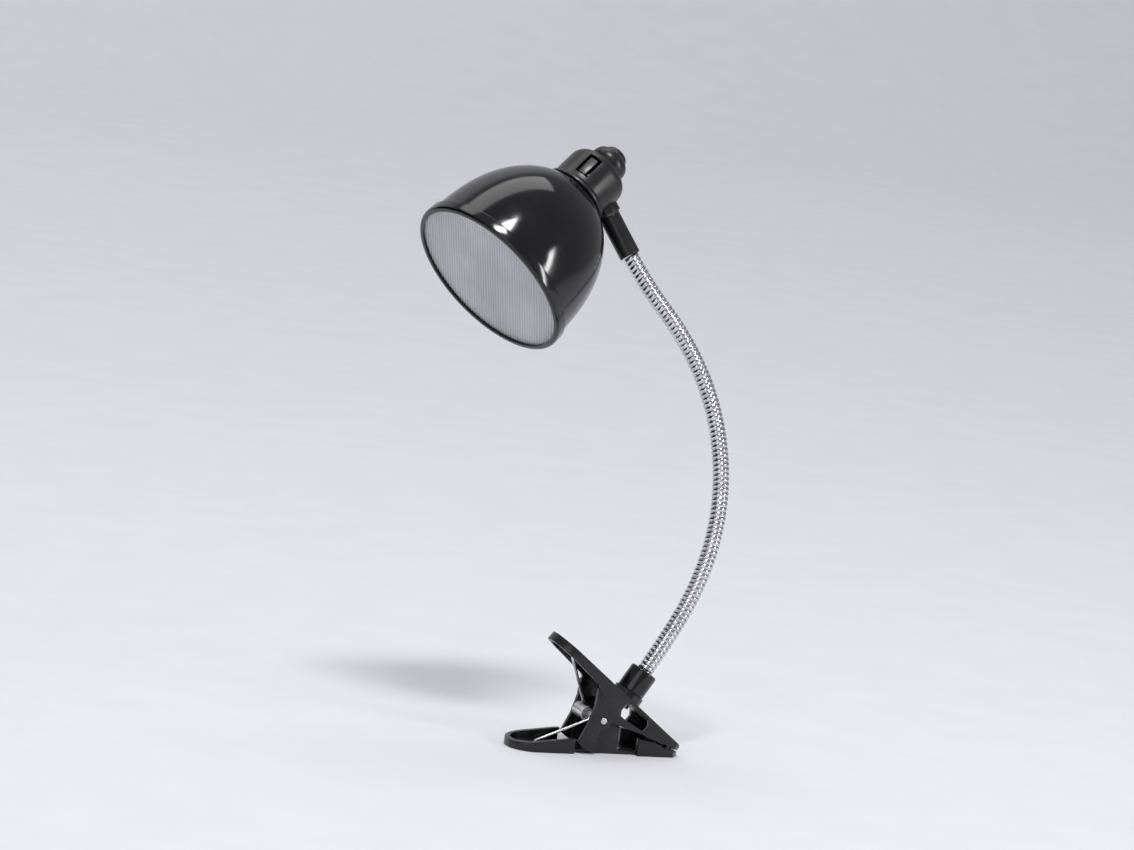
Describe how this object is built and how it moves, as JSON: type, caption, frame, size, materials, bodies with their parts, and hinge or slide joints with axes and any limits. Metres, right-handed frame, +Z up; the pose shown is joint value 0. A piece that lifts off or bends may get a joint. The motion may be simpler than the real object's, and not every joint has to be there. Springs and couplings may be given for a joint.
{
  "type": "clip-on reading lamp",
  "caption": "Battery reading lamp: a bell-shaped head on a bendable ribbed gooseneck that stands on a sprung two-jaw clip.",
  "frame": {"origin": "where the closed jaw tips meet, on the clip's middle plane", "axes": "+Z up, square to the lower jaw's outer face; +X from the handles towards the jaw tips; Y along the pivot pin"},
  "size_m": [0.0826, 0.0548, 0.1526],
  "materials": {
    "black_gloss": "glossy moulded ABS, black",
    "black_satin": "semi-gloss moulded plastic, black",
    "chrome": "bright nickel-chrome plate",
    "spring_steel": "bright drawn spring wire",
    "steel": "zinc-plated steel",
    "lens": "translucent ribbed polystyrene",
    "white_plastic": "white moulded plastic",
    "led_resin": "clear epoxy",
    "board": "green solder mask",
    "contact": "plated brass strip"
  },
  "bodies": {
    "clip_upper": {"upper_jaw": "black_satin", "pivot_pin": "steel", "clip_spring": "spring_steel", "clip_ferrule": "black_gloss", "ferrule_screw": "steel", "gooseneck_length_1": "chrome"},
    "clip_lower": {"lower_jaw": "black_satin"},
    "neck_2": {"gooseneck_length_2": "chrome"},
    "neck_3": {"gooseneck_length_3": "chrome"},
    "neck_4": {"gooseneck_length_4": "chrome"},
    "neck_5": {"gooseneck_length_5": "chrome"},
    "neck_6": {"gooseneck_length_6": "chrome"},
    "neck_7": {"gooseneck_length_7": "chrome"},
    "head_mount": {"gooseneck_length_8": "chrome", "head_stem": "black_satin", "swivel_washer": "steel", "swivel_clip": "steel"},
    "head": {"shade": "black_gloss", "lens_bezel": "black_gloss", "lens": "lens", "reflector": "white_plastic", "led_board": "board", "led_1": "led_resin", "led_2": "led_resin", "led_3": "led_resin", "board_screw_1": "steel", "board_screw_2": "steel", "battery_holder": "white_plastic", "button_cell_1": "steel", "button_cell_2": "steel", "button_cell_3": "steel", "contact_spring": "spring_steel", "contact_plate": "contact", "switch_body": "black_satin", "rear_housing": "black_satin", "switch_collar": "black_satin"},
    "switch_button": {"push_button": "black_satin"},
    "housing_tab": {"release_tab": "black_satin"}
  },
  "joints": [
    {"name": "clip_hinge", "type": "hinge", "parent": "clip_upper", "child": "clip_lower", "pos_m": [-0.02185, 0, 0.00735], "axis": [0, 1, 0], "range_deg": [0, 35], "stiffness_Nm_per_rad": 0.15, "springref_deg": -68.75, "deforming": ["clip_spring"]},
    {"name": "neck_bend_1", "type": "hinge", "parent": "clip_upper", "child": "neck_2", "pos_m": [-0.00523, 0, 0.02624], "axis": [-0.3335, -0.9205, 0.2036], "range_deg": [-40, 20]},
    {"name": "neck_lean_2", "type": "hinge", "parent": "neck_2", "child": "neck_3", "pos_m": [0.00258, 0.00052, 0.0414], "axis": [-0.8242, 0.3895, 0.4111], "range_deg": [-25, 25]},
    {"name": "neck_bend_3", "type": "hinge", "parent": "neck_3", "child": "neck_4", "pos_m": [0.00717, 0.00247, 0.05773], "axis": [-0.3335, -0.9205, 0.2036], "range_deg": [-40, 20]},
    {"name": "neck_lean_4", "type": "hinge", "parent": "neck_4", "child": "neck_5", "pos_m": [0.00774, 0.00596, 0.07444], "axis": [-0.9421, 0.3332, -0.0371], "range_deg": [-25, 25]},
    {"name": "neck_bend_5", "type": "hinge", "parent": "neck_5", "child": "neck_6", "pos_m": [0.00441, 0.01072, 0.09049], "axis": [-0.3335, -0.9205, 0.2036], "range_deg": [-40, 20]},
    {"name": "neck_lean_6", "type": "hinge", "parent": "neck_6", "child": "neck_7", "pos_m": [-0.00276, 0.01649, 0.10486], "axis": [-0.8441, 0.1954, -0.4994], "range_deg": [-25, 25]},
    {"name": "neck_bend_7", "type": "hinge", "parent": "neck_7", "child": "head_mount", "pos_m": [-0.01288, 0.02286, 0.11705], "axis": [-0.3335, -0.9205, 0.2036], "range_deg": [-40, 20]},
    {"name": "head_swivel", "type": "hinge", "parent": "head_mount", "child": "head", "pos_m": [-0.02729, 0.03357, 0.14187], "axis": [-0.4707, 0.3497, 0.8101], "range_deg": [-120, 120]},
    {"name": "switch_press", "type": "slide", "parent": "head", "child": "switch_button", "axis": [-0.7134, -0.2621, -0.6499], "range_m": [0, 0.0012], "stiffness_N_per_m": 800, "springref_m": -0.0006},
    {"name": "tab_press", "type": "hinge", "parent": "head", "child": "housing_tab", "pos_m": [-0.03284, 0.02688, 0.14419], "axis": [-0.6229, 0.6621, 0.4167], "range_deg": [0, 8], "stiffness_Nm_per_rad": 0.02, "springref_deg": -5.73}
  ]
}
